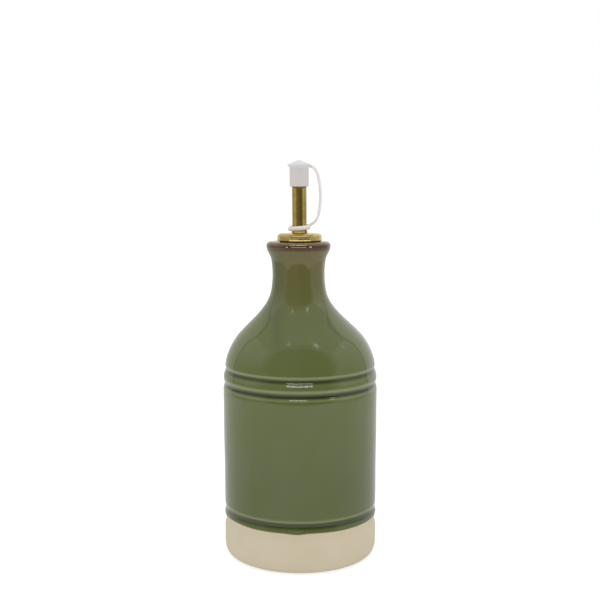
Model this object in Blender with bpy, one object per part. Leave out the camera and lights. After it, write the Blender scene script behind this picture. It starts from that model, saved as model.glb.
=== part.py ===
"""A stoneware oil bottle, glazed down to a bare clay foot, with a brass pourer and a tethered plastic cap.

Metres, +Z up. The bottle stands on z = 0 with its foot centred on the origin.
"""

import math

import bmesh
import bpy
from mathutils import Euler, Matrix, Vector

MM = 0.001
GAP = 0.3 * MM  # left between pieces that touch
THIN_GAP = 0.25 * MM  # above and below the seal

# Stoneware bottle
WALL_OUTLINE = (  # (height, radius) down the wall, without its grooves
    (173.8, 17.9),
    (171.7, 17.45),
    (169.6, 16.5),
    (167.2, 15.45),
    (164.5, 14.95),
    (157.5, 14.55),
    (148.0, 15.6),
    (142.0, 18.2),
    (136.0, 22.95),
    (130.0, 29.05),
    (124.0, 34.8),
    (118.0, 38.7),
    (112.5, 41.0),
    (109.7, 41.7),
    (107.4, 42.05),
    (101.0, 42.97),
    (90.0, 43.13),
    (70.0, 43.05),
    (48.0, 42.8),
    (33.0, 42.77),
    (24.0, 42.64),
    (15.0, 42.72),
    (8.3, 42.7),
)
GROOVES = (  # (height, depth, half width), each turned into the wall
    (105.3, 0.52, 2.4),
    (97.5, 0.8, 2.9),
    (27.4, 0.6, 2.5),
    (19.5, 0.7, 3.9),
)
LIP_CROWN = 176.25 * MM
LIP_CROWN_RADIUS = 15.6 * MM
LIP_SEAT = 176.0 * MM  # the sunken middle of the top, which carries the pourer
LIP_SEAT_RADIUS = 12.6 * MM
FOOT_FLAT_RADIUS = 36.0 * MM
FOOT_ROUNDING_POWER = 2.85  # 2 would be an ellipse, and more is squarer
NECK_LEAN = 0.75 * MM  # the neck's centre lies this far to -X of the foot's
LEAN_START = 118.0 * MM
LEAN_END = 146.0 * MM
GLAZE_EDGE = 22.8 * MM
BOTTLE_STEPS = 56
LIP_STEPS = 6
FOOT_STEPS = 7
ROWS_PER_GROOVE = 6
GROOVE_MARGIN = 1.05  # the share of a groove's half width kept clear of the plain wall's rows
CURVED_ABOVE = 101.0  # millimetres; the wall above this is curved enough for rows between its knots

# Rubber seal, between the lip and the brass disc
SEAL_X = 0.15 * MM
SEAL_RADIUS = 11.5 * MM
SEAL_THICKNESS = 0.5 * MM

# Brass pourer
POURER_X = -0.1 * MM
POURER_LEAN = math.radians(-0.36)
DISC_RADIUS = 12.35 * MM
DISC_FLANGE_RADIUS = 12.5 * MM
DISC_FLANGE_HEIGHT = 0.6 * MM
DISC_CHAMFER = 0.15 * MM
DISC_SIDE_HEIGHT = 2.2 * MM
DISC_CROWN_HEIGHT = 3.75 * MM
DISC_CROWN_RADIUS = 9.6 * MM
DISC_RIM_POWER = 1.9
DISC_MIDDLE_HEIGHT = 3.6 * MM
TUBE_RADIUS = 4.03 * MM
TUBE_TOP = 216.2 * MM
TUBE_CHAMFER = 0.4 * MM
COLLAR_RADIUS = 4.4 * MM  # of the bead round the tube's foot
COLLAR_HEIGHT = 1.3 * MM

# Plastic cap with its tether and ring
CUP_RADIUS = 5.25 * MM
CUP_BORE_RADIUS = TUBE_RADIUS + GAP
CUP_MOUTH = 206.45 * MM
CUP_CEILING = TUBE_TOP + GAP
BRIM_RADIUS = 6.56 * MM
BRIM_HEIGHT = 218.35 * MM
BRIM_UNDERSIDE = 216.8 * MM
CAP_PEAK = 221.0 * MM
PEAK_RADIUS = 1.1 * MM  # the blunt tip of the cone
PEAK_HEIGHT = 0.3 * MM
TETHER_ROUTE = (  # (x, z) along its middle, from inside the brim round to the ring
    (4.6, 218.3),
    (8.35, 216.4),
    (10.95, 210.0),
    (11.8, 201.5),
    (11.2, 194.0),
    (9.35, 188.0),
    (5.3, 184.9),
)
TETHER_THICKNESS = 1.55 * MM
TETHER_WIDTH = 2.6 * MM
TETHER_CUTS = 6  # in each span of its route
RING_INNER_RADIUS = 4.6 * MM
RING_OUTER_RADIUS = 6.4 * MM
RING_WIDTH = 2.3 * MM
RING_X = -0.1 * MM
RING_HEIGHT = 183.95 * MM
RING_TILT = Euler((math.radians(2.7), math.radians(-4.5), 0.0))


def clear_scene():
    for obj in list(bpy.data.objects):
        bpy.data.objects.remove(obj, do_unlink=True)


def make_material(name, color, roughness, metallic=0.0):
    material = bpy.data.materials.new(name)
    material.use_nodes = True
    shader = material.node_tree.nodes["Principled BSDF"]
    shader.inputs["Base Color"].default_value = (*color, 1.0)
    shader.inputs["Roughness"].default_value = roughness
    shader.inputs["Metallic"].default_value = metallic
    material.diffuse_color = (*color, 1.0)
    return material


def ramp(start, end, value):
    """0 before start, 1 after end, and an even S between."""
    share = min(max((value - start) / (end - start), 0.0), 1.0)
    return share * share * (3.0 - 2.0 * share)


def arc(center, across, up, start, end, steps, power=2.0):
    """(radius, height) points on part of a superellipse, from angle start to end in degrees."""
    points = []
    for step in range(steps + 1):
        angle = math.radians(start + (end - start) * step / steps)
        x = math.copysign(abs(math.cos(angle)) ** (2.0 / power), math.cos(angle))
        y = math.copysign(abs(math.sin(angle)) ** (2.0 / power), math.sin(angle))
        points.append((center[0] + across * x, center[1] + up * y))
    return points


def lathe(name, outline, steps, material, closed_loop=False):
    """Turns (radius, height) points about Z. They start and end on the axis, or make a closed loop."""
    shape = bmesh.new()
    verts = [shape.verts.new((radius, 0.0, height)) for radius, height in outline]
    pairs = list(zip(verts, verts[1:]))
    if closed_loop:
        pairs.append((verts[-1], verts[0]))
    edges = [shape.edges.new(pair) for pair in pairs]
    bmesh.ops.spin(
        shape,
        geom=verts + edges,
        cent=(0.0, 0.0, 0.0),
        axis=(0.0, 0.0, 1.0),
        angle=math.tau,
        steps=steps,
        use_merge=True,
    )
    bmesh.ops.remove_doubles(shape, verts=shape.verts, dist=1e-7)
    bmesh.ops.recalc_face_normals(shape, faces=shape.faces)
    return add_object(name, shape, material)


def add_object(name, shape, material):
    mesh = bpy.data.meshes.new(name)
    shape.to_mesh(mesh)
    shape.free()
    mesh.materials.append(material)
    smooth(mesh)
    obj = bpy.data.objects.new(name, mesh)
    bpy.context.scene.collection.objects.link(obj)
    return obj


def smooth(mesh):
    mesh.shade_smooth()
    mesh.set_sharp_from_angle(angle=math.radians(40))


def wall_radius(height):
    """The bottle's radius between its foot's rounding and its lip, grooves included; both in millimetres."""
    knots = WALL_OUTLINE[::-1]
    span = 0
    while span < len(knots) - 2 and height > knots[span + 1][0]:
        span += 1

    def slope(index):
        before = knots[max(index - 1, 0)]
        after = knots[min(index + 1, len(knots) - 1)]
        return (after[1] - before[1]) / (after[0] - before[0])

    (z0, r0), (z1, r1) = knots[span], knots[span + 1]
    length = z1 - z0
    t = (height - z0) / length
    radius = (
        (2 * t**3 - 3 * t**2 + 1) * r0
        + (t**3 - 2 * t**2 + t) * length * slope(span)
        + (3 * t**2 - 2 * t**3) * r1
        + (t**3 - t**2) * length * slope(span + 1)
    )
    for center, depth, half_width in GROOVES:
        away = abs(height - center) / half_width
        if away < 1.0:
            radius -= depth * 0.5 * (1.0 + math.cos(math.pi * away))
    return radius


def wall_heights():
    """Heights in millimetres at which the wall gets a row of points, from the lip down to the foot."""
    heights = [(a[0] + b[0]) / 2 for a, b in zip(WALL_OUTLINE, WALL_OUTLINE[1:]) if a[0] > CURVED_ABOVE]
    heights += [knot[0] for knot in WALL_OUTLINE]
    for center, _, half_width in GROOVES:
        clear_of_groove = [z for z in heights if abs(z - center) > GROOVE_MARGIN * half_width]
        groove_rows = [
            center + half_width * (2.0 * row / ROWS_PER_GROOVE - 1.0)
            for row in range(ROWS_PER_GROOVE + 1)
        ]
        heights = clear_of_groove + groove_rows
    return sorted(heights, reverse=True)


def bottle_outline():
    """(radius, height) from the middle of the top, over the lip, down the wall, to the middle of the base."""
    top_row, bottom_row = WALL_OUTLINE[0], WALL_OUTLINE[-1]
    lip_center = (LIP_CROWN_RADIUS, top_row[0] * MM)
    lip_across = top_row[1] * MM - LIP_CROWN_RADIUS
    lip = arc(lip_center, lip_across, LIP_CROWN - top_row[0] * MM, 90, 0, LIP_STEPS)
    seat = [(0.0, LIP_SEAT), (LIP_SEAT_RADIUS, LIP_SEAT)]
    wall = [(wall_radius(height) * MM, height * MM) for height in wall_heights()]
    foot_center = (FOOT_FLAT_RADIUS, bottom_row[0] * MM)
    foot_across = bottom_row[1] * MM - FOOT_FLAT_RADIUS
    foot = arc(foot_center, foot_across, bottom_row[0] * MM, 0, -90, FOOT_STEPS, FOOT_ROUNDING_POWER)
    return seat + lip[:-1] + wall + foot[1:] + [(0.0, 0.0)]


def make_bottle():
    glaze = make_material("green_glaze", (0.10, 0.13, 0.055), 0.12)
    clay = make_material("bare_clay", (0.58, 0.49, 0.35), 0.85)
    bottle = lathe("stoneware_bottle", bottle_outline(), BOTTLE_STEPS, glaze)
    bottle.data.materials.append(clay)
    for face in bottle.data.polygons:
        face.material_index = 1 if face.center.z < GLAZE_EDGE else 0
    for vert in bottle.data.vertices:
        vert.co.x -= NECK_LEAN * ramp(LEAN_START, LEAN_END, vert.co.z)
    return bottle


def make_seal():
    rubber = make_material("black_rubber", (0.02, 0.02, 0.022), 0.55)
    edge = SEAL_THICKNESS / 2
    rim = arc((SEAL_RADIUS - edge, edge), edge, edge, 90, -90, 4)
    seal = lathe("rubber_seal", [(0.0, SEAL_THICKNESS)] + rim + [(0.0, 0.0)], 40, rubber)
    seal.location = (SEAL_X, 0.0, LIP_SEAT + THIN_GAP)
    return seal


def make_disc(brass, base):
    """A turned disc with a rounded rim above and a thin flange below, dished a little towards the spout."""
    outline = [(0.0, DISC_MIDDLE_HEIGHT), (COLLAR_RADIUS, DISC_MIDDLE_HEIGHT)]
    for share in (0.4, 0.75):
        radius = COLLAR_RADIUS + (DISC_CROWN_RADIUS - COLLAR_RADIUS) * share
        rise = (DISC_CROWN_HEIGHT - DISC_MIDDLE_HEIGHT) * ramp(0.0, 1.0, share)
        outline.append((radius, DISC_MIDDLE_HEIGHT + rise))
    rim_center = (DISC_CROWN_RADIUS, DISC_SIDE_HEIGHT)
    rim_width = DISC_RADIUS - DISC_CROWN_RADIUS
    outline += arc(rim_center, rim_width, DISC_CROWN_HEIGHT - DISC_SIDE_HEIGHT, 90, 0, 6, DISC_RIM_POWER)
    outline += [
        (DISC_RADIUS, DISC_FLANGE_HEIGHT + DISC_CHAMFER),
        (DISC_FLANGE_RADIUS, DISC_FLANGE_HEIGHT),
        (DISC_FLANGE_RADIUS, DISC_CHAMFER),
        (DISC_FLANGE_RADIUS - DISC_CHAMFER, 0.0),
        (0.0, 0.0),
    ]
    disc = lathe("brass_disc", outline, 44, brass)
    disc.parent = base
    return disc


def make_tube(brass, base):
    """The spout: a straight tube with a bead round its foot. Its bore is shut by the cap, so it is solid."""
    bottom = DISC_MIDDLE_HEIGHT + GAP
    top = TUBE_TOP - base.location.z
    outline = [(0.0, top), (TUBE_RADIUS - TUBE_CHAMFER, top), (TUBE_RADIUS, top - TUBE_CHAMFER)]
    bead_center = (TUBE_RADIUS, bottom + COLLAR_HEIGHT / 2)
    outline += arc(bead_center, COLLAR_RADIUS - TUBE_RADIUS, COLLAR_HEIGHT / 2, 90, -90, 6)
    outline += [(0.0, bottom)]
    tube = lathe("brass_spout", outline, 36, brass)
    tube.parent = base
    tube.rotation_euler.y = POURER_LEAN
    return tube


def make_cup(plastic):
    """A cup closed by a shallow cone whose brim stands out over the wall."""
    brim_edge = 0.22 * MM
    mouth_edge = 0.35 * MM
    outline = [
        (0.0, CAP_PEAK),
        (PEAK_RADIUS, CAP_PEAK - PEAK_HEIGHT),
        (BRIM_RADIUS - brim_edge, BRIM_HEIGHT + brim_edge),
        (BRIM_RADIUS, BRIM_HEIGHT),
        (CUP_RADIUS, BRIM_UNDERSIDE),
        (CUP_RADIUS, CUP_MOUTH + mouth_edge),
        (CUP_RADIUS - mouth_edge, CUP_MOUTH),
        (CUP_BORE_RADIUS, CUP_MOUTH),
        (CUP_BORE_RADIUS, CUP_CEILING),
        (0.0, CUP_CEILING),
    ]
    return lathe("tethered_cap", outline, 36, plastic)


def smooth_route(points, spans):
    """(x, z) points of the smooth curve through the given ones, each span cut in the given number."""
    padded = [points[0], *points, points[-1]]
    route = []
    for p0, p1, p2, p3 in zip(padded, padded[1:], padded[2:], padded[3:]):
        for step in range(spans):
            t = step / spans
            weights = (
                (-t + 2 * t**2 - t**3) / 2,
                (2 - 5 * t**2 + 3 * t**3) / 2,
                (t + 4 * t**2 - 3 * t**3) / 2,
                (t**3 - t**2) / 2,
            )
            corners = (p0, p1, p2, p3)
            route.append(Vector(sum(w * c[axis] for w, c in zip(weights, corners)) for axis in (0, 1)))
    return route + [Vector(points[-1])]


def make_tether(plastic):
    """A flat strap with rounded edges, swept along a smooth curve in the XZ plane."""
    route = smooth_route(TETHER_ROUTE, TETHER_CUTS)
    section = arc((0.0, 0.0), TETHER_THICKNESS / 2, TETHER_WIDTH / 2, 0, 315, 7, 3.0)
    shape = bmesh.new()
    rings = []
    for index, middle in enumerate(route):
        along = (route[min(index + 1, len(route) - 1)] - route[max(index - 1, 0)]).normalized()
        outward = Vector((-along.y, along.x))
        ring = []
        for out, side in section:
            x, z = middle * MM + outward * out
            ring.append(shape.verts.new((x, side, z)))
        rings.append(ring)
    for ring, following in zip(rings, rings[1:]):
        for i in range(len(section)):
            after = (i + 1) % len(section)
            shape.faces.new((ring[i], ring[after], following[after], following[i]))
    for end in (rings[0], rings[-1]):
        shape.faces.new(end)
    bmesh.ops.recalc_face_normals(shape, faces=shape.faces)
    return add_object("tether", shape, plastic)


def make_ring(plastic):
    """The tether's ring, a loose collar tipped on the spout."""
    middle = (RING_INNER_RADIUS + RING_OUTER_RADIUS) / 2
    across = (RING_OUTER_RADIUS - RING_INNER_RADIUS) / 2
    section = arc((middle, 0.0), across, RING_WIDTH / 2, 0, 315, 7, 2.1)
    ring = lathe("tether_ring", section, 32, plastic, closed_loop=True)
    ring.rotation_euler = RING_TILT
    ring.location = (RING_X, 0.0, RING_HEIGHT)
    return ring


def make_cap(base):
    """Cup, tether and ring are moulded in one, so the last two are joined to the cup and then hidden."""
    plastic = make_material("white_plastic", (0.80, 0.79, 0.78), 0.4)
    cap = make_cup(plastic)
    for piece in (make_tether(plastic), make_ring(plastic)):
        join = cap.modifiers.new(f"join_{piece.name}", "BOOLEAN")
        join.operation = "UNION"
        join.solver = "EXACT"
        join.object = piece
        piece.hide_render = True
        piece.display_type = "WIRE"
        piece.parent = cap
    cap.parent = base
    cap.matrix_parent_inverse = Matrix.Translation((0.0, 0.0, -base.location.z))
    lean_center = Vector((0.0, 0.0, base.location.z))
    cap.rotation_euler.y = POURER_LEAN
    cap.location = lean_center - cap.rotation_euler.to_matrix() @ lean_center
    return cap


def main():
    clear_scene()
    make_bottle()
    make_seal()
    pourer = bpy.data.objects.new("pourer", None)
    bpy.context.scene.collection.objects.link(pourer)
    pourer.location = (POURER_X, 0.0, LIP_SEAT + SEAL_THICKNESS + 2 * THIN_GAP)
    brass = make_material("brass", (0.55, 0.42, 0.14), 0.25, 1.0)
    make_disc(brass, pourer)
    make_tube(brass, pourer)
    make_cap(pourer)


main()
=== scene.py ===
import math

import bmesh
import bpy
import numpy as np
from mathutils import Euler, Matrix, Vector


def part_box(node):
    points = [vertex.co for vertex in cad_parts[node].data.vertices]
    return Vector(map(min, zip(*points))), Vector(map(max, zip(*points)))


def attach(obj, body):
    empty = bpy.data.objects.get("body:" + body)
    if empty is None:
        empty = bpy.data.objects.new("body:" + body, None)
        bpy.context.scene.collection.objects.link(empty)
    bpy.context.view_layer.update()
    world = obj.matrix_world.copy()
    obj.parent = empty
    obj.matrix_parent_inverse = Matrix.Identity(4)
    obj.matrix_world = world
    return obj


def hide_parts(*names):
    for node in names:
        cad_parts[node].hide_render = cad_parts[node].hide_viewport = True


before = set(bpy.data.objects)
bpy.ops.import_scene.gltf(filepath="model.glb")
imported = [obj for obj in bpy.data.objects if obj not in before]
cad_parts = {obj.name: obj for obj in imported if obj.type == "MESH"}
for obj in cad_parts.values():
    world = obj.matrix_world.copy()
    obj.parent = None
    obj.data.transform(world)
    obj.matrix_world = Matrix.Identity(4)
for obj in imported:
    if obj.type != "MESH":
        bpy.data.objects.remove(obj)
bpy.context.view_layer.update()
mm = 0.001
neckX, pourerX = -0.75, -0.1                      # mm, where they stand, from the foot's middle
onAxis = 1e-6                                     # mm, a smaller radius is a point on the axis
print("frame loaded:", ", ".join(sorted(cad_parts)))


def tone(red, green, blue):                       # a screen colour, 0 to 255, made linear
    shares = [value / 255 for value in (red, green, blue)]
    return tuple(((share + 0.055) / 1.055) ** 2.4 if share > 0.04045 else share / 12.92 for share in shares)


def soft(start, end, value):                      # 0 before start, 1 after end, an even S between
    share = np.clip((value - start) / (end - start), 0.0, 1.0)
    return share * share * (3.0 - 2.0 * share)


def bump(center, halfWidth, value):               # a smooth hill, 1 at its middle, 0 past its half width
    return 0.5 + 0.5 * np.cos(np.pi * np.clip((value - center) / halfWidth, -1.0, 1.0))


def between(share, first, second):                # first where share is 0, second where it is 1
    return share * (second - first) + first


# ---- shader wiring: sums on sockets are written as plain expressions

class Wire:
    def __init__(self, finish, socket):
        self.finish, self.socket = finish, socket

    def math(self, operation, *values):
        sockets = {index: value for index, value in enumerate(values)}
        return self.finish.node("Math", {"operation": operation}, sockets)

    def __add__(self, other):
        return self.math("ADD", self, other)

    def __sub__(self, other):
        return self.math("SUBTRACT", self, other)

    def __rsub__(self, other):
        return self.math("SUBTRACT", other, self)

    def __mul__(self, other):
        return self.math("MULTIPLY", self, other)

    def __truediv__(self, other):
        return self.math("DIVIDE", self, other)

    __radd__, __rmul__ = __add__, __mul__

    def larger(self, other):
        return self.math("MAXIMUM", self, other)

    def smaller(self, other):
        return self.math("MINIMUM", self, other)

    def size(self):
        return self.math("ABSOLUTE", self)

    def root(self):
        return self.math("SQRT", self)

    def rise(self, start, end):                   # 0 at start, 1 at end, an even S between
        ends = {"Value": self, "From Min": start, "From Max": end}
        return self.finish.node("MapRange", {"interpolation_type": "SMOOTHSTEP"}, ends)

    def band(self, low, high, edge):              # 1 from low to high, 0 outside, with soft edges
        return self.rise(low - edge, low + edge) * (1 - self.rise(high - edge, high + edge))

    def other(self, name):                        # another output of the same node
        return Wire(self.finish, self.socket.node.outputs[name])


class Finish:                                     # one material, or the world, with its nodes
    def __init__(self, name, kind="materials"):
        self.owner = getattr(bpy.data, kind).new(name)
        self.owner.use_nodes = True
        self.tree = self.owner.node_tree
        self.shader = next(n for n in self.tree.nodes if n.type in ("BSDF_PRINCIPLED", "BACKGROUND"))

    def feed(self, socket, value):
        if isinstance(value, Wire):
            self.tree.links.new(value.socket, socket)
        elif isinstance(value, tuple) and socket.type == "RGBA":
            socket.default_value = (*value, 1.0)
        else:
            socket.default_value = value

    def node(self, kind, settings=None, sockets=None, out=0):
        made = self.tree.nodes.new("ShaderNode" + kind)
        for name, value in (settings or {}).items():
            if name == "stops":
                self.setStops(made.color_ramp, value)
            else:
                setattr(made, name, value)
        for name, value in (sockets or {}).items():
            self.feed(made.inputs[name], value)
        return Wire(self, made.outputs[out])

    def setStops(self, ramp, stops):
        while len(ramp.elements) < len(stops):
            ramp.elements.new(1.0)
        for element, (place, color) in zip(ramp.elements, stops):
            element.position, element.color = place, (*color, 1.0)

    def mix(self, share, first, second):          # two colours; its colour sockets are the 7th and the 8th
        made = self.node("Mix", {"data_type": "RGBA"}, {0: share}, 2)
        self.feed(made.socket.node.inputs[6], first)
        self.feed(made.socket.node.inputs[7], second)
        return made

    def axes(self, spot):                         # the x, y and z of a point
        split = self.node("SeparateXYZ", {}, {0: spot})
        return [split.other(name) for name in "XYZ"]

    def place(self, scale=1.0):                   # the point on the piece, in mm, then scaled
        spot = self.node("TexCoord", out=3)
        grow = tuple(1000.0 * s for s in (scale if isinstance(scale, tuple) else (scale,) * 3))
        return self.node("VectorMath", {"operation": "MULTIPLY"}, {0: spot, 1: grow})

    def clouds(self, size, detail=3.0, roughness=0.5, stretch=1.0):   # 0 to 1, patches of about size mm
        spot = self.place((1.0 / size, 1.0 / size, 1.0 / size / stretch))
        sockets = {"Vector": spot, "Scale": 1.0, "Detail": detail, "Roughness": roughness}
        return self.node("TexNoise", {}, sockets)

    def specks(self, spacing, radius, share):     # 1 in small round spots, at only a share of their places
        cells = self.node("TexVoronoi", {}, {"Vector": self.place(1.0 / spacing), "Scale": 1.0})
        lot = self.node("SeparateColor", {}, {"Color": cells.other("Color")})
        inside = 1 - cells.rise(0.5 * radius / spacing, radius / spacing)
        return inside * (1 - lot.rise(share, share + 0.01))

    def attribute(self, name):
        return self.node("Attribute", {"attribute_name": name}, out=2)

    def relief(self, *layers):                    # (height, depth in mm) pairs become one normal
        normal = None
        for height, depth in layers:
            sockets = {"Height": height, "Distance": depth * mm, "Strength": 1.0}
            if normal:
                sockets["Normal"] = normal
            normal = self.node("Bump", {}, sockets)
        self.feed(self.shader.inputs["Normal"], normal)

    def set(self, sockets):                       # the shader's own sockets, by their names
        for name, value in sockets.items():
            self.feed(self.shader.inputs[name], value)
        return self.owner


# ---- meshes

def skin(shape, rows, closed=False):
    # faces between neighbouring rows of vertices; a row of one vertex is a point on the axis
    segments = max(len(row) for row in rows)
    pairs = list(zip(rows, rows[1:]))
    if closed:
        pairs.append((rows[-1], rows[0]))
    for upper, lower in pairs:
        for step in range(segments):
            after = (step + 1) % segments
            corners = [upper[step % len(upper)], lower[step % len(lower)]]
            corners += [lower[after % len(lower)], upper[after % len(upper)]]
            shape.faces.new(dict.fromkeys(corners))


def turn(name, outline, segments, closed=False):
    # turns (radius, height) points in mm about Z
    shape = bmesh.new()
    rows = []
    for radius, height in outline:
        row = []
        for step in range(1 if radius < onAxis else segments):
            angle = math.tau * step / segments
            spot = Vector((radius * math.cos(angle), radius * math.sin(angle), height)) * mm
            row.append(shape.verts.new(spot))
        rows.append(row)
    skin(shape, rows, closed)
    bmesh.ops.recalc_face_normals(shape, faces=shape.faces)
    return addPiece(name, shape)


def addPiece(name, shape, sharpest=50):           # corners sharper than this, in degrees, stay crisp
    mesh = bpy.data.meshes.new(name)
    shape.to_mesh(mesh)
    shape.free()
    mesh.shade_smooth()
    mesh.set_sharp_from_angle(angle=math.radians(sharpest))
    piece = bpy.data.objects.new(name, mesh)
    bpy.context.scene.collection.objects.link(piece)
    return piece


def arc(center, across, up, start, end, steps, power=2.0):
    # (radius, height) points on part of a superellipse, angles in degrees
    points = []
    for step in range(steps + 1):
        angle = math.radians(start + (end - start) * step / steps)
        x = math.copysign(abs(math.cos(angle)) ** (2.0 / power), math.cos(angle))
        y = math.copysign(abs(math.sin(angle)) ** (2.0 / power), math.sin(angle))
        points.append((center[0] + across * x, center[1] + up * y))
    return points


def wholeArc(center, across, up, sides, power):   # the same all round, without its first point again
    return arc(center, across, up, 0, 360 - 360 / sides, sides - 1, power)


def flowing(points, step):
    # a natural cubic spline through the points, cut at the spacing that step(point) asks for
    points = np.array(points, float)
    along = np.concatenate([[0.0], np.cumsum(np.linalg.norm(np.diff(points, axis=0), axis=1))])
    gaps = np.diff(along)
    matrix = np.eye(len(along))
    pull = np.zeros_like(points)
    for i in range(1, len(along) - 1):
        matrix[i, i - 1:i + 2] = gaps[i - 1], 2 * (gaps[i - 1] + gaps[i]), gaps[i]
        pull[i] = 6 * ((points[i + 1] - points[i]) / gaps[i] - (points[i] - points[i - 1]) / gaps[i - 1])
    bend = np.linalg.solve(matrix, pull)

    def at(place):
        i = min(int(np.searchsorted(along, place, "right")) - 1, len(gaps) - 1)
        a, b, h = along[i + 1] - place, place - along[i], gaps[i]
        cubic = (bend[i] * a**3 + bend[i + 1] * b**3) / (6 * h)
        straight = (points[i] / h - bend[i] * h / 6) * a + (points[i + 1] / h - bend[i + 1] * h / 6) * b
        return cubic + straight

    line, place = [at(0.0)], 0.0
    while place < along[-1]:
        place = min(place + step(line[-1]), along[-1])
        line.append(at(place))
    return line


def frameRows(node):
    # (height, radius, middle x) in mm of every ring of a turned CAD node, from its top down
    rings = {}
    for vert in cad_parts[node].data.vertices:
        rings.setdefault(round(vert.co.z / mm, 2), []).append(vert.co.x / mm)
    return [(z, (max(xs) - min(xs)) / 2, (max(xs) + min(xs)) / 2) for z, xs in sorted(rings.items())[::-1]]


def dress(piece, material, slot, *nodes):         # finish, body and the CAD node it stands for; slot is not used
    piece.data.materials.clear()
    piece.data.materials.append(material)
    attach(piece, "root")
    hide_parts(*nodes)
    return piece


# ---- studio: a white tent with its front open, small lamps, a pale table and the camera

tent = {
    "halfWidth": 0.87, "front": 0.50, "back": 0.50, "height": 0.85,    # m, from the bottle
    "left": (0.45, 0.88), "right": (0.57, 0.92),  # how bright each side reflects, low down and high up
    "rear": (0.74, 0.94), "opening": (0.20, 0.10),                     # how bright at their left and right
    "roof": 0.58, "highUp": 0.75, "swap": 0.1,    # highUp is where a side is brightest, swap where left ends
    "fold": 0.045, "foldShade": 0.65,             # the dark fold where sides meet the rear
    "openingShift": (-0.42, -0.28), "shiftTo": 0.4,                    # its two sides lean in low down
    "edge": 0.22, "edgeUp": 0.75,                 # the opening's soft edge, softer higher up
    "topEdge": 0.02, "roofEdge": 0.04,            # where the opening meets the roof
    "light": 0.95, "topLight": 0.25,              # the even light on matt surfaces, and more from above
}
roofBands = (                                     # across the roof above the opening, fading to its sides
    {"reach": (-0.03, 0.05), "edge": 0.015, "fade": (0.0, 0.42), "bright": 0.95},
    {"reach": (0.07, 0.25), "edge": 0.02, "fade": (0.1, 0.5), "bright": 0.24},
)
gleams = (                                        # small lamps under the roof, each with a streak beside it
    {"from": (-35, 65), "to": (-66, 80), "half": 0.055, "spark": 1.3, "streak": 0.35},
    {"from": (46, 61), "to": (68, 79), "half": 0.060, "spark": 2.6, "streak": 0.5},
    {"from": (96, 39), "to": (101, 52), "half": 0.045, "spark": 0.7, "streak": 0.3},
)
pennant = {"tip": 0.15, "spark": 0.35, "start": (-0.2, 0.1)}           # shares of a gleam's width and length


def heading(azimuth, elevation):                  # a direction; 0 is to the front, 90 to the right
    around, up = math.radians(azimuth), math.radians(elevation)
    return Vector((math.sin(around) * math.cos(up), -math.cos(around) * math.cos(up), math.sin(up)))


def dot(world, spot, way):
    return world.node("VectorMath", {"operation": "DOT_PRODUCT"}, {0: spot, 1: tuple(way)}, 1)


def gleamAt(world, spot, gleam):                  # a pennant, brightest at its broad end
    start, end = heading(*gleam["from"]), heading(*gleam["to"])
    run, tip = end - start, pennant["tip"]
    along = (dot(world, spot, run / run.length) - start.dot(run) / run.length) / run.length
    across = dot(world, spot, start.cross(end).normalized()).size()
    body = (1 - across / ((1 + tip - along).larger(tip) * gleam["half"])).larger(0.0)
    spark = (1 - along.size() / pennant["spark"]).larger(0.0) * gleam["spark"]
    streak = (1 - along).larger(0.0) * along.rise(*pennant["start"]) * gleam["streak"]
    return body * (spark + streak)


def ceilingAt(x, above):                          # the roof with its bands
    glow = tent["roof"]
    for band in roofBands:
        share = above.band(*band["reach"], band["edge"]) * (1 - x.size().rise(*band["fade"]))
        glow = share * (band["bright"] - tent["roof"]) + glow
    return glow


def tentAt(world, spot):                          # how bright glossy surfaces see the tent
    x, y, z = world.axes(spot)
    side, front = x.size() / tent["halfWidth"], y * (-1 / tent["front"])
    rear, roof = y / tent["back"], z / tent["height"]
    fold, topEdge = tent["fold"], tent["topEdge"]
    toRight, up = x.rise(-tent["swap"], tent["swap"]), z.rise(0.0, tent["highUp"])
    shift = between(toRight, *tent["openingShift"]) * (1 - z.rise(0.0, tent["shiftTo"]))
    edge = z.larger(0.0) * tent["edgeUp"] + tent["edge"]
    isFront = ((front - side + shift) / edge).rise(-1, 1) * (front - roof).rise(-topEdge, topEdge)
    isRear = (rear - side.larger(roof)).rise(-fold, fold)
    isRoof = (roof - side.larger(rear)).rise(-fold, fold) * (1 - isFront)
    isRoof = isRoof * (roof - front).rise(-tent["roofEdge"], 0.0)
    isSide = (1 - isRear - isRoof - isFront).larger(0.0)
    sides = between(toRight, between(up, *tent["left"]), between(up, *tent["right"]))
    seen = isSide * sides + isRear * between(toRight, *tent["rear"]) + isRoof * ceilingAt(x, roof - front)
    seen = seen + isFront * between(toRight, *tent["opening"])
    return seen * (1 - (side - rear).band(-fold, fold, fold / 2) * tent["foldShade"] * (1 - isFront))


def makeTent():
    world = Finish("studioTent", "worlds")
    spot = world.node("TexCoord", out=0)
    seen = tentAt(world, spot)
    for gleam in gleams:
        seen = seen + gleamAt(world, spot, gleam)
    lit = world.axes(spot)[2] * tent["topLight"] + tent["light"]
    ray = world.node("LightPath")
    glossy, camera = ray.other("Is Glossy Ray"), ray.other("Is Camera Ray")
    strength = glossy * seen + (1 - glossy) * lit
    world.set({"Color": tone(255, 255, 255), "Strength": camera + (1 - camera) * strength})
    bpy.context.scene.world = world.owner


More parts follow.
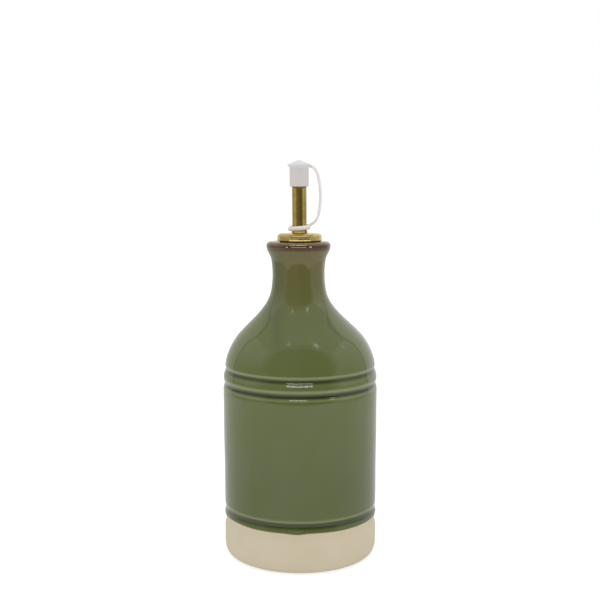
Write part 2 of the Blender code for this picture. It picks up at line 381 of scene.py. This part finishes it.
# arcs of short lamps close to the bottle, which only glossy surfaces see; mm and degrees. A lamp is deep from
# top to bottom, faces down by its tip, and shines no wider than its spread. Turn makes it face more sideways
lampLength = 3.0                                  # mm, about
strips = {
    "twinLine": {"radius": 73.0, "height": 122.9, "azimuths": (-14.9, 13.9),
                 "deep": 1.6, "tip": 33.2, "turn": 1.4, "bright": 0.125, "spread": 18},
    "lowerLine": {"radius": 46.0, "height": 97.5, "azimuths": (-8.5, 5.5),
                  "deep": 0.55, "tip": 55, "bright": 2.3, "spread": 70},
    "sideLine": {"radius": 46.0, "height": 97.5, "azimuths": (23.6, 28.3),
                 "deep": 0.9, "tip": 50, "bright": 1.4, "spread": 80},
    "lipBar": {"x": neckX, "radius": 20.9, "height": 174.12, "azimuths": (-15.0, 16.0),
               "deep": 1.1, "tip": 0, "bright": 2.5, "spread": 120},
    "lipLeft": {"x": neckX, "radius": 20.9, "height": 174.15, "azimuths": (-26.2, -22.0),
                "deep": 1.6, "tip": 0, "bright": 4.3, "spread": 120},
    "lipRight": {"x": neckX, "radius": 20.9, "height": 174.45, "azimuths": (22.2, 27.2),
                 "deep": 2.2, "tip": 0, "bright": 4.7, "spread": 120},
    "crownLine": {"x": neckX, "radius": 20.5, "height": 179.7, "azimuths": (-22.0, 19.0),
                  "deep": 1.4, "tip": 56, "bright": 1.3, "spread": 70},
    "flangeLine": {"x": pourerX, "radius": 16.2, "height": 176.98, "azimuths": (-34.0, 36.0),
                   "deep": 1.1, "tip": 0, "bright": 0.75, "spread": 120},
    "discFront": {"x": pourerX, "radius": 16.2, "height": 178.85, "azimuths": (-36.0, 38.0),
                  "deep": 0.75, "tip": 0, "bright": 0.11, "spread": 120},
    "discLeft": {"x": pourerX, "radius": 16.2, "height": 178.0, "azimuths": (-36.0, -6.0),
                 "deep": 0.75, "tip": 0, "bright": 0.1, "spread": 120},
    "discRim": {"x": pourerX, "radius": 16.0, "height": 182.7, "azimuths": (-27.0, 34.0),
                "deep": 1.9, "tip": 41, "bright": 0.27, "spread": 70},
    "collarLine": {"x": pourerX, "radius": 7.0, "height": 181.45, "azimuths": (-60.0, 60.0),
                   "deep": 1.3, "tip": 0, "bright": 0.5, "spread": 100},
}


def makeStrip(name, strip):
    start, end = strip["azimuths"]
    middle = Vector((strip.get("x", 0.0), 0, strip["height"]))
    count = max(1, round(math.radians(end - start) * strip["radius"] / lampLength))
    width = 2 * strip["radius"] * math.tan(math.radians(end - start) / count / 2) * mm
    for index in range(count):
        data = bpy.data.lights.new(name, "AREA")
        data.shape, data.size, data.size_y = "RECTANGLE", width, strip["deep"] * mm
        data.energy = strip["bright"] * math.pi * data.size * data.size_y
        data.spread = math.radians(strip["spread"])
        lamp = bpy.data.objects.new(name, data)
        bpy.context.scene.collection.objects.link(lamp)
        around = start + (end - start) * (index + 0.5) / count
        lamp.location = (heading(around, 0) * strip["radius"] + middle) * mm
        back = heading(around * strip.get("turn", 1.0), strip["tip"])
        lamp.rotation_euler = back.to_track_quat("Z", "Y").to_euler()
        lamp.visible_camera = lamp.visible_diffuse = False


table = {
    "halfWidth": 0.55, "front": 0.50, "back": 6.0,                     # m
    "white": 0.50, "glow": 0.62,                  # mostly its own glow, so the shadow on it stays faint
    "mirrored": 0.38, "spread": 0.75,             # shares of its glow that glossy and matt surfaces get
    "grain": 40.0, "grainLight": 0.02,            # mm, and how much lighter its light patches are
    "rough": 0.9, "specular": 0.1,
}


def makeTable():
    shape = bmesh.new()
    corners = ((-1, -table["front"]), (1, -table["front"]), (1, table["back"]), (-1, table["back"]))
    shape.faces.new([shape.verts.new((side * table["halfWidth"], y, 0.0)) for side, y in corners])
    floor = addPiece("table", shape)
    finish = Finish("paleTable")
    grain = finish.clouds(table["grain"])
    white = finish.mix(grain, (table["white"],) * 3, (table["white"] + table["grainLight"],) * 3)
    ray = finish.node("LightPath")
    glow = finish.mix(ray.other("Is Camera Ray"), (table["spread"],) * 3, (1.0, 1.0, 1.0))
    glow = finish.mix(ray.other("Is Glossy Ray"), glow, (table["mirrored"],) * 3)
    floor.data.materials.append(finish.set({
        "Base Color": white, "Roughness": table["rough"], "Specular IOR Level": table["specular"],
        "Emission Color": glow, "Emission Strength": table["glow"]}))


camera = {
    "x": 0.03, "distance": 576.53, "height": 209.27,                   # mm, from the foot's middle
    "down": 6.513, "roll": -0.10, "lens": 62.33, "sensor": 36.0,       # degrees, degrees, mm, mm
}


def makeCamera():
    data = bpy.data.cameras.new("camera")
    data.lens, data.sensor_width = camera["lens"], camera["sensor"]
    eye = bpy.data.objects.new("camera", data)
    bpy.context.scene.collection.objects.link(eye)
    eye.location = Vector((camera["x"], -camera["distance"], camera["height"])) * mm
    tilt = Matrix.Rotation(math.radians(90.0 - camera["down"]), 4, "X")
    eye.rotation_euler = (tilt @ Matrix.Rotation(math.radians(camera["roll"]), 4, "Z")).to_euler()
    bpy.context.scene.camera = eye
    bpy.context.scene.view_settings.view_transform = "Standard"


makeTent()
for name, strip in strips.items():
    makeStrip(name, strip)
makeTable()
makeCamera()
print("studio ready")


# ---- stoneware bottle

bottle = {
    "segments": 192,
    "coarse": 1.1, "fine": 0.28,                  # mm between rows, on plain walls and in turned grooves
    "fineFrom": 170.0, "near": 1.0,               # mm, rows are fine on the lip too, and this near a groove
    "seat": 176.0, "crownRings": 8,               # mm; the lip's crown is one of the frame's first rings
    "seatShares": (0.0, 0.5, 0.9),                # rows on the seat, up to the crown, and under the foot
    "crownShares": (0.15, 0.4, 0.65, 0.85), "footShares": (0.97, 0.9, 0.5, 0.0),
    "frameGrooves": ((105.3, 2.4), (97.5, 2.9), (27.4, 2.5), (19.5, 3.9)),     # (middle, half width), mm
    "grooveMargin": 1.01,
    "ringTilt": 0.75, "tiltFrom": (60.0, 85.0),   # mm up at the sides, in the upper two grooves
    "sideShare": 0.72,                            # how deep grooves are at the sides
    "sharpest": 60,                               # degrees
}
cuts = (                                          # (middle, depth, reach up, reach down) of each groove, mm
    (105.0, 0.80, 2.6, 3.7), (97.0, 0.95, 3.4, 3.1), (94.6, 0.06, 2.0, 2.0),
    (27.1, 0.62, 2.6, 2.9), (19.6, 0.98, 3.9, 3.9),
)
glazeEdge = {
    "height": 23.1,                               # mm
    "roll": 0.22, "rollRise": (-0.05, 0.45), "rollTo": 1.6,            # mm; the thicker roll along the edge
    "dip": 0.55, "dipAngle": -92.5, "dipHalf": 9.0,                    # a run at the front, mm and degrees
    "waves": ((0.16, 2, 0.7), (0.10, 5, 2.1), (0.05, 11, 4.0)),        # (mm, turns, phase)
}
pools = (                                         # (middle, half width, -1 for thin to 1 for pooled), mm
    (106.7, 1.3, -0.75), (104.7, 1.9, 0.72), (102.7, 1.4, -0.15),
    (99.35, 1.5, -0.72), (96.9, 1.9, 1.0), (94.9, 1.2, -0.5), (93.5, 1.1, 0.08),
    (29.3, 1.1, -0.6), (27.8, 1.3, 0.72), (26.3, 1.7, 0.75),
)


def edgeHeight(angle):                            # the glaze's lower edge at an angle round the bottle, mm
    wave = sum(size * np.sin(turns * angle + phase) for size, turns, phase in glazeEdge["waves"])
    off = (np.degrees(angle) - glazeEdge["dipAngle"] + 180.0) % 360.0 - 180.0
    dip = glazeEdge["dip"] * np.maximum(1.0 - abs(off) / glazeEdge["dipHalf"], 0.0)
    return glazeEdge["height"] + wave - dip


def edgeRoll(above):                              # how much thicker the glaze is just above its edge, mm
    start, full = glazeEdge["rollRise"]
    return glazeEdge["roll"] * (soft(start, full, above) * (1.0 - soft(full, glazeEdge["rollTo"], above)))


def cutDepth(height):
    return sum(depth * bump(middle, up if height > middle else down, height)
               for middle, depth, up, down in cuts)


def poolAt(height):
    return sum(amount * bump(middle, half, height) for middle, half, amount in pools)


def bottleLine(rows):
    # the frame's rings, without those in its grooves, made one flowing line from the crown down to the foot
    crown = max(range(bottle["crownRings"]), key=lambda i: rows[i][0])
    grooves = [(middle, bottle["grooveMargin"] * half) for middle, half in bottle["frameGrooves"]]
    kept = [(r, z) for z, r, _ in rows[crown:] if all(abs(z - middle) > half for middle, half in grooves)]
    near = bottle["near"]

    def step(point):
        carved = cutDepth(point[1] - near) + cutDepth(point[1] + near) > 0.0
        return bottle["fine"] if carved or point[1] > bottle["fineFrom"] else bottle["coarse"]

    widest = max(r for r, _ in kept)
    return [(min(r, widest), z) for r, z in flowing(kept, step)]


def bottleOutline(rows):
    # (radius, height) points from the middle of the pourer's seat, over the crown, to the foot's middle
    line = bottleLine(rows)
    level = bottle["seat"]
    seat = next(radius for height, radius, _ in rows if abs(height - level) < 0.01)
    (crown, crownHeight), (foot, footHeight) = line[0], line[-1]
    inner = [(seat * share, level) for share in bottle["seatShares"]]
    for share in bottle["crownShares"]:
        inner.append((seat + (crown - seat) * share, level + (crownHeight - level) * soft(0.0, 1.0, share)))
    return [*inner, *line, *((foot * share, footHeight) for share in bottle["footShares"])]


def makeBottleMesh():
    rows = frameRows("stoneware_bottle")
    heights, _, middles = np.array(rows[::-1]).T
    shape = bmesh.new()
    rise, pool = (shape.verts.layers.float.new(key) for key in ("glazeRise", "pool"))
    angles = np.arange(bottle["segments"]) * math.tau / bottle["segments"]
    edge = edgeHeight(angles)
    grid = []
    for radius, height in bottleOutline(rows):
        row = []
        x = np.interp(height, heights, middles)
        for angle, low in zip(angles[:1] if radius < onAxis else angles, edge):
            tilt = bottle["ringTilt"] * (1.0 + math.sin(angle)) * soft(*bottle["tiltFrom"], height)
            share = 1.0 - (1.0 - bottle["sideShare"]) * math.cos(angle) ** 2
            r = radius - cutDepth(height - tilt) * share + edgeRoll(height - low)
            vert = shape.verts.new(Vector((r * math.cos(angle) + x, r * math.sin(angle), height)) * mm)
            vert[rise] = height - low
            vert[pool] = poolAt(height - tilt)
            row.append(vert)
        grid.append(row)
    skin(shape, grid)
    bmesh.ops.recalc_face_normals(shape, faces=shape.faces)
    return addPiece("glazedBottle", shape, bottle["sharpest"])


glazeTones = {
    "thin": tone(134, 139, 94), "leaf": tone(81, 90, 47), "deep": tone(33, 42, 14),
    "slate": tone(80, 91, 58), "olive": tone(79, 88, 36), "pale": tone(112, 121, 72),
    "neck": tone(94, 91, 49), "moss": tone(68, 81, 49), "warm": tone(108, 90, 46),
    "rust": tone(69, 39, 0), "cold": tone(84, 62, 40), "crown": tone(108, 94, 50),
    "rim": tone(136, 128, 86), "pit": tone(48, 38, 26), "sealShade": tone(50, 44, 30),
}
clayTones = {"clay": tone(201, 189, 164), "sand": tone(196, 184, 158), "speck": tone(150, 134, 104)}
zones = {                                         # mm, (from, to) or (low, high, soft edge) where a tone is
    "front": (-4.0, 2.0),                         # in depth
    "run": (36.5, 57.0, 3.5), "runX": -25.5, "runHalf": 4.8, "runTaper": 0.19, "runFrom": 36.0,
    "pale": (35.0, 95.0), "neck": (128.0, 160.0),
    "shady": (130.0, 144.0), "shadyX": (-13.0, -6.0),                  # the neck's left side
    "dim": (121.0, 137.0, 8.0), "dimX": (-15.0, -9.5, 2.5),            # and a patch under it
    "warm": (163.0, 173.0, 3.0), "warmX": (-13.0, -5.0),               # under the lip
    "rust": (171.7, 174.9, 0.7), "rustX": (-14.0, -6.0),
    "crown": (174.8, 175.35),
    "sealShade": (175.5, 175.9), "sealRadius": (15.3, 16.4),
    "rim": (0.05, 0.75), "glazed": (-0.03, 0.03),                      # above the glaze's edge
}
bottleFinish = {"clayRough": 0.85, "glazeRough": 0.06, "pitRough": 0.2, "ior": 1.6}
bottleRelief = {"grain": 0.06, "mottle": 0.012, "waves": 0.05}         # mm


def wallGlaze(finish, pool, plain, patches, drift, mottle):   # its tone follows its thickness
    stops = [(0.0, glazeTones["thin"]), (0.5, glazeTones["leaf"]), (1.0, glazeTones["deep"])]
    thickness = pool * 0.5 + 0.5 + (drift - 0.5) * 0.08 + mottle * 0.04
    glaze = finish.node("ValToRGB", {"stops": stops}, {0: thickness})
    glaze = finish.mix(patches.rise(0.42, 0.66) * plain * 0.7, glaze, glazeTones["olive"])
    return finish.mix(drift.rise(0.5, 0.7) * plain * 0.4, glaze, glazeTones["slate"])


def shadeGlaze(finish, glaze, x, y, z, plain):    # a run on the wall, a paler shoulder, a browner neck
    front = 1 - y.rise(*zones["front"])
    half = zones["runHalf"] - (z - zones["runFrom"]) * zones["runTaper"]
    run = 1 - ((x - zones["runX"]).size() / half.larger(0.5)).rise(0.4, 1.3)
    run = run * z.band(*zones["run"]) * front
    glaze = finish.mix(run * 0.9, glaze, glazeTones["olive"])
    glaze = finish.mix(z.rise(*zones["pale"]) * plain * 0.2, glaze, glazeTones["pale"])
    glaze = finish.mix(z.rise(*zones["neck"]), glaze, glazeTones["neck"])
    shady = (1 - x.rise(*zones["shadyX"])) * z.rise(*zones["shady"]) * 0.45
    shady = shady + x.band(*zones["dimX"]) * z.band(*zones["dim"]) * 0.4
    return finish.mix((shady * front).smaller(0.8), glaze, glazeTones["moss"])


def lipGlaze(finish, glaze, x, y, z, wobble):     # rust where it broke over the lip, and the seal's painted shadow and reflection beside it
    warm = z.band(*zones["warm"]) * (x.rise(*zones["warmX"]) * 0.3 + 0.1)
    glaze = finish.mix(warm, glaze, glazeTones["warm"])
    rust = finish.mix(x.rise(*zones["rustX"]), glazeTones["cold"], glazeTones["rust"])
    glaze = finish.mix((z + wobble).band(*zones["rust"]), glaze, rust)
    glaze = finish.mix((z + wobble).rise(*zones["crown"]), glaze, glazeTones["crown"])
    fromNeck = x - neckX
    radius = (fromNeck * fromNeck + y * y).root()
    # painted shade: the seal's shadow and reflection, painted dark on the glaze round it
    dark = z.rise(*zones["sealShade"]) * (1 - radius.rise(*zones["sealRadius"]))
    return finish.mix(dark, glaze, glazeTones["sealShade"])


def bareClay(finish, grain):
    blotch = finish.clouds(12.0, 2.0)
    clay = finish.mix(blotch.rise(0.3, 0.7) * 0.6 + grain * 0.3, clayTones["clay"], clayTones["sand"])
    return finish.mix(finish.specks(2.6, 0.2, 0.2) * 0.6, clay, clayTones["speck"])


def makeGlazeFinish():
    finish = Finish("glazedStoneware")
    x, y, z = finish.axes(finish.place())
    rise, pool = finish.attribute("glazeRise"), finish.attribute("pool")
    patches = finish.clouds(16.0, 2.0, 0.5, 1.3)
    drift = finish.clouds(24.0, 2.0, 0.5, 2.5)
    mottle = finish.clouds(2.2, 3.0, 0.6) - 0.5
    grain = finish.clouds(0.7, 4.0, 0.7)
    waves = finish.clouds(9.0, 1.0)
    pits = finish.specks(9.0, 0.22, 0.06)
    plain = 1 - pool.size().rise(0.0, 0.3)        # 1 away from the grooves
    glazed = rise.rise(*zones["glazed"])
    glaze = wallGlaze(finish, pool, plain, patches, drift, mottle)
    glaze = shadeGlaze(finish, glaze, x, y, z, plain)
    glaze = lipGlaze(finish, glaze, x, y, z, mottle * 0.8 + (patches - 0.5) * 0.8)
    glaze = finish.mix(pits, glaze, glazeTones["pit"])
    glaze = finish.mix(1 - rise.rise(*zones["rim"]), glaze, glazeTones["rim"])
    swell = waves * between(plain, 0.2, 1.0) * glazed
    finish.relief((grain * (1 - glazed), bottleRelief["grain"]), (mottle * glazed, bottleRelief["mottle"]),
                  (swell, bottleRelief["waves"]))
    rough = between(glazed, bottleFinish["clayRough"], bottleFinish["glazeRough"])
    rough = rough + pits * glazed * bottleFinish["pitRough"]
    color = finish.mix(glazed, bareClay(finish, grain), glaze)
    return finish.set({"Base Color": color, "Roughness": rough, "IOR": bottleFinish["ior"]})


dress(makeBottleMesh(), makeGlazeFinish(), "glazed_stoneware", "stoneware_bottle")
print("bottle thrown and glazed")


# ---- black seal, which fits under the pourer's disc

pourer = {
    "foot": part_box("brass_disc")[0].z / mm, "lean": -0.36,             # mm, degrees
}
disc = {
    "segments": 160, "radius": 12.35, "side": 2.2, "crown": 3.75, "crownRadius": 9.6, "middle": 3.6,  # mm
    "rimPower": 1.9, "rimSteps": 16,
    "slopeShares": (0.1, 0.9, 9),                 # first, last and number of rows on its top's slope
    "flange": 12.5, "flangeHeight": 0.74, "flangeInset": 0.1,          # mm
    "flangeStart": 75, "flangePower": 6.0,        # degrees, and how square it is
    "sunk": 0.14,                                 # mm, how far it reaches below the frame's disc
}
seal = {"segments": 128, "edge": 0.28, "power": 2.6, "steps": 10, "bottom": bottle["seat"]}           # mm
sealTones = (tone(38, 36, 37), tone(48, 46, 47))


def makeSeal():
    low, high = (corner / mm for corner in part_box("rubber_seal"))
    bottom = seal["bottom"]
    top = pourer["foot"] - disc["sunk"]
    radius = (high.x - low.x) / 2
    half = (top - bottom) / 2
    center = (radius - seal["edge"], bottom + half)
    rim = arc(center, seal["edge"], half, 90, -90, seal["steps"], seal["power"])
    piece = turn("blackSeal", [(0.0, top), *rim, (0.0, bottom)], seal["segments"])
    piece.data.transform(Matrix.Translation(((high.x + low.x) / 2 * mm, 0.0, 0.0)))
    finish = Finish("blackRubber")
    dust = finish.clouds(1.2)
    color = finish.mix(dust, *sealTones)
    finish.relief((finish.clouds(0.5), 0.03))
    rubber = finish.set({"Base Color": color, "Roughness": 0.5 + dust * 0.15})
    return dress(piece, rubber, "black_rubber", "rubber_seal")


makeSeal()
print("seal laid")


# ---- brass disc and spout

brassTones = {                                    # bright, aged, stained
    "brassTube": (tone(176, 155, 84), tone(158, 137, 68), tone(118, 98, 46)),
    "brassPlate": (tone(214, 190, 124), tone(198, 172, 104), tone(150, 122, 66)),
}
brassFinish = {"metallic": 0.9, "rough": 0.12, "roughMore": 0.06, "relief": 0.001}    # relief in mm
stand = Matrix.Translation(Vector((pourerX, 0.0, pourer["foot"])) * mm)
lean = stand @ Matrix.Rotation(math.radians(pourer["lean"]), 4, "Y")


def makeBrassFinish(name):
    finish = Finish(name)
    bright, aged, stain = brassTones[name]
    cloud = finish.clouds(4.0, 4.0, 0.6)
    fine = finish.clouds(0.9, 4.0, 0.6, 6.0)
    color = finish.mix(cloud.rise(0.35, 0.65), bright, aged)
    color = finish.mix((fine - 0.55).rise(0.0, 0.25) * 0.5, color, stain)
    finish.relief((fine, brassFinish["relief"]))
    rough = brassFinish["rough"] + cloud * brassFinish["roughMore"]
    return finish.set({"Base Color": color, "Metallic": brassFinish["metallic"], "Roughness": rough})


def makeDisc(brass):
    outline = [(0.0, disc["middle"]), (tube["collar"], disc["middle"])]
    for share in np.linspace(*disc["slopeShares"]):
        height = disc["middle"] + (disc["crown"] - disc["middle"]) * soft(0.0, 1.0, share)
        outline.append((tube["collar"] + (disc["crownRadius"] - tube["collar"]) * share, height))
    center, steps = (disc["crownRadius"], disc["side"]), disc["rimSteps"]
    reach, up = disc["radius"] - disc["crownRadius"], disc["crown"] - disc["side"]
    outline += arc(center, reach, up, 90, 0, steps, disc["rimPower"])
    center = (disc["radius"] - disc["flangeInset"], disc["flangeHeight"] / 2 - disc["sunk"])
    reach, up = disc["flange"] - disc["radius"] + disc["flangeInset"], disc["flangeHeight"] / 2
    outline += arc(center, reach, up, disc["flangeStart"], -90, steps, disc["flangePower"])
    outline.append((0.0, -disc["sunk"]))
    piece = turn("brassDisc", outline, disc["segments"])
    piece.data.transform(stand)
    return dress(piece, brass, "brass", "brass_disc")


tube = {
    "segments": 96, "radius": 4.03, "top": 216.2, "tip": 0.4,          # mm
    "collar": 4.4, "collarHeight": 1.3,           # mm, the bead at its foot
    "collarEnd": 84, "collarSteps": 16, "collarPower": 3.2,            # degrees, rows, how square it is
    "gap": 0.3, "over": 0.05, "step": 0.1,        # mm, from disc to collar and tube, and above the collar
}


def makeSpout(brass):
    bottom, low = disc["middle"] + tube["gap"], disc["middle"] + tube["over"]
    top = tube["top"] - pourer["foot"]
    radius, half = tube["radius"], tube["collarHeight"] / 2
    collar = arc((radius, bottom + half), tube["collar"] - radius, half,
                 -90, tube["collarEnd"], tube["collarSteps"], tube["collarPower"])
    outline = [(0.0, low), (radius, low), *collar, (radius, bottom + tube["collarHeight"] + tube["step"])]
    outline += [(radius, top - tube["tip"]), (radius - tube["tip"], top), (0.0, top)]
    piece = turn("brassSpout", outline, tube["segments"])
    piece.data.transform(lean)
    return dress(piece, brass, "brass", "brass_spout")


makeDisc(makeBrassFinish("brassPlate"))
makeSpout(makeBrassFinish("brassTube"))
print("pourer turned")


# ---- white cap with its tether and ring

cup = {
    "segments": 96, "radius": 5.25, "bore": 4.33, "mouth": 206.45, "ceiling": 216.5,                  # mm
    "brim": 6.56, "brimHeight": 218.35, "brimUnderside": 216.8,
    "peak": 221.0, "peakRadius": 1.1, "peakDrop": 0.3,                 # a flat little top
    "mouthEdge": 0.35, "mouthSteps": 5, "brimEdge": 0.22,
    "voxel": 0.14, "smoothing": 3, "softness": 0.5,                    # how the joins are softened
}
tether = {
    "route": ((4.6, 218.3), (8.35, 216.4), (10.95, 210.0), (11.8, 201.5), (11.2, 194.0), (9.35, 188.0),
              (5.3, 184.9)),                      # (x, height), mm
    "thickness": 1.55, "width": 2.6, "cut": 0.5,  # mm
    "sides": 24, "power": 3.0,
}
ring = {
    "inner": 4.6, "outer": 6.4, "width": 2.6, "height": 183.85,        # mm
    "tilt": (2.7, -4.5), "segments": 96, "sides": 24, "power": 2.1,    # tilt in degrees
}
# the cup's tone, then the brim, the tether strap and the ring painted lighter: painted light, since all are
# one moulded plastic; cloud is a random tone
plasticTonesAndPaintedLight = {
    "cup": tone(206, 199, 195), "brim": tone(217, 216, 219), "strap": tone(234, 232, 231),
    "ring": tone(230, 224, 217), "cloud": tone(205, 200, 196),
}
plasticPaintedLightZones = {"brim": (216.0, 217.5), "strapX": (6.0, 7.5), "ring": (186.0, 189.0)}                 # mm; where the brim, the strap and the ring get their painted light


def cupShape():
    edge, brim = cup["mouthEdge"], cup["brimEdge"]
    outline = [(0.0, cup["peak"]), (cup["peakRadius"], cup["peak"] - cup["peakDrop"])]
    outline += [(cup["brim"] - brim, cup["brimHeight"] + brim), (cup["brim"], cup["brimHeight"])]
    outline.append((cup["radius"], cup["brimUnderside"]))
    outline += arc((cup["radius"] - edge, cup["mouth"] + edge), edge, edge, 0, -90, cup["mouthSteps"])
    outline += [(cup["bore"], cup["mouth"]), (cup["bore"], cup["ceiling"]), (0.0, cup["ceiling"])]
    return turn("whiteCap", outline, cup["segments"])


def tetherShape():
    route = [Vector(point) for point in flowing(tether["route"], lambda _: tether["cut"])]
    half = tether["thickness"] / 2, tether["width"] / 2
    section = wholeArc((0.0, 0.0), *half, tether["sides"], tether["power"])
    shape = bmesh.new()
    loops = []
    for index, middle in enumerate(route):
        along = (route[min(index + 1, len(route) - 1)] - route[max(index - 1, 0)]).normalized()
        outward = Vector((-along.y, along.x))
        loop = []
        for out, side in section:
            spot = middle + outward * out
            loop.append(shape.verts.new(Vector((spot.x, side, spot.y)) * mm))
        loops.append(loop)
    skin(shape, loops)
    for end in (loops[0], loops[-1]):
        shape.faces.new(end)
    bmesh.ops.recalc_face_normals(shape, faces=shape.faces)
    return addPiece("capTether", shape)


def ringShape():
    middle, across = (ring["inner"] + ring["outer"]) / 2, (ring["outer"] - ring["inner"]) / 2
    section = wholeArc((middle, 0.0), across, ring["width"] / 2, ring["sides"], ring["power"])
    piece = turn("capRing", section, ring["segments"], closed=True)
    tilt = Euler([math.radians(angle) for angle in (*ring["tilt"], 0.0)]).to_matrix().to_4x4()
    piece.data.transform(Matrix.Translation(Vector((pourerX, 0.0, ring["height"])) * mm) @ tilt)
    return piece


def makePlasticFinish():
    finish = Finish("milkyPlastic")
    x, _, z = finish.axes(finish.place())
    cloud = finish.clouds(3.0)
    # painted light: the brim, the strap and the ring are made lighter than the cup
    color = finish.mix(z.rise(*plasticPaintedLightZones["brim"]), plasticTonesAndPaintedLight["cup"], plasticTonesAndPaintedLight["brim"])
    color = finish.mix(x.rise(*plasticPaintedLightZones["strapX"]), color, plasticTonesAndPaintedLight["strap"])
    color = finish.mix(1 - z.rise(*plasticPaintedLightZones["ring"]), color, plasticTonesAndPaintedLight["ring"])
    color = finish.mix(cloud * 0.3, color, plasticTonesAndPaintedLight["cloud"])
    finish.relief((finish.clouds(0.8), 0.01))
    return finish.set({"Base Color": color, "Roughness": 0.35 + cloud * 0.1})


def makeCap():
    # the three are moulded in one, so they are merged and their joins softened
    cap = cupShape()
    joined = bmesh.new()
    for part in (cap, tetherShape(), ringShape()):
        joined.from_mesh(part.data)
        if part is not cap:
            bpy.data.objects.remove(part)
    joined.to_mesh(cap.data)
    joined.free()
    remesh = cap.modifiers.new("merge", "REMESH")
    remesh.mode, remesh.voxel_size, remesh.use_smooth_shade = "VOXEL", cup["voxel"] * mm, True
    soften = cap.modifiers.new("soften", "SMOOTH")
    soften.factor, soften.iterations = cup["softness"], cup["smoothing"]
    cap.data.transform(Matrix.Translation((0.0, 0.0, -pourer["foot"] * mm)))
    cap.data.transform(lean)
    return dress(cap, makePlasticFinish(), "white_plastic", "tethered_cap")


makeCap()
print("cap moulded")
